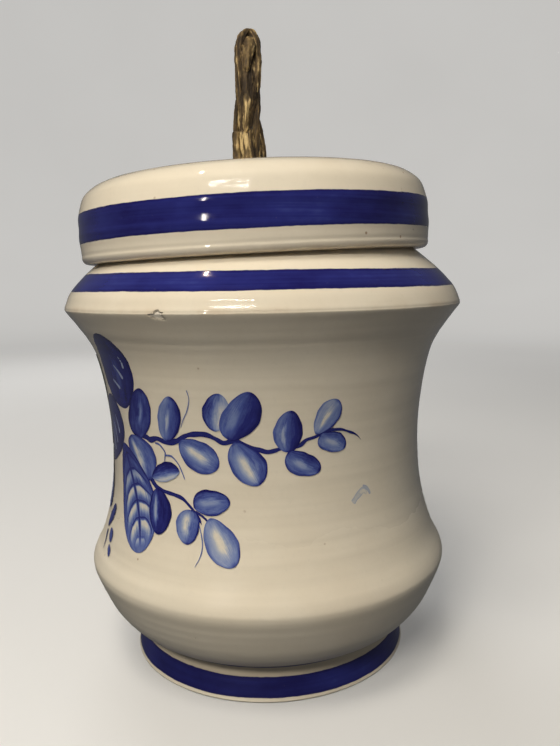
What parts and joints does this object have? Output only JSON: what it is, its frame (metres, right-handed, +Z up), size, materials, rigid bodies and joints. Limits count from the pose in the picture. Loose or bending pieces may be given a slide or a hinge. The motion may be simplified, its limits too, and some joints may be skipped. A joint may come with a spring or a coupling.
{
  "type": "apothecary jar",
  "caption": "Waisted glazed earthenware jar on a flared foot, with a sharp shoulder, a deep lift-off lid and a cast brass twig arch handle.",
  "frame": {"origin": "centre of the plane that the foot ring stands on", "axes": "+Z up; the painted front faces -Y; the handle's arch stands in the XZ plane"},
  "size_m": [0.1802, 0.1802, 0.283],
  "materials": {
    "body_glaze": "gloss tin glaze with cobalt bands and brush painting",
    "lid_glaze": "gloss tin glaze with a cobalt band",
    "handle_brass": "dark patina, rubbed bright on the high spots",
    "fixing_brass": "dull machined brass",
    "washer_rubber": "matt"
  },
  "bodies": {
    "jar": {"jar_body": "body_glaze"},
    "lid": {"lid": "lid_glaze", "handle": "handle_brass", "stud_left": "fixing_brass", "stud_right": "fixing_brass", "soft_washer_left": "washer_rubber", "soft_washer_right": "washer_rubber", "washer_left": "fixing_brass", "washer_right": "fixing_brass", "nut_left": "fixing_brass", "nut_right": "fixing_brass"}
  },
  "joints": [
    {"name": "lid_lift", "type": "slide", "parent": "jar", "child": "lid", "axis": [0.0113, -0.034, 0.9994], "range_m": [0, 0.15]}
  ]
}
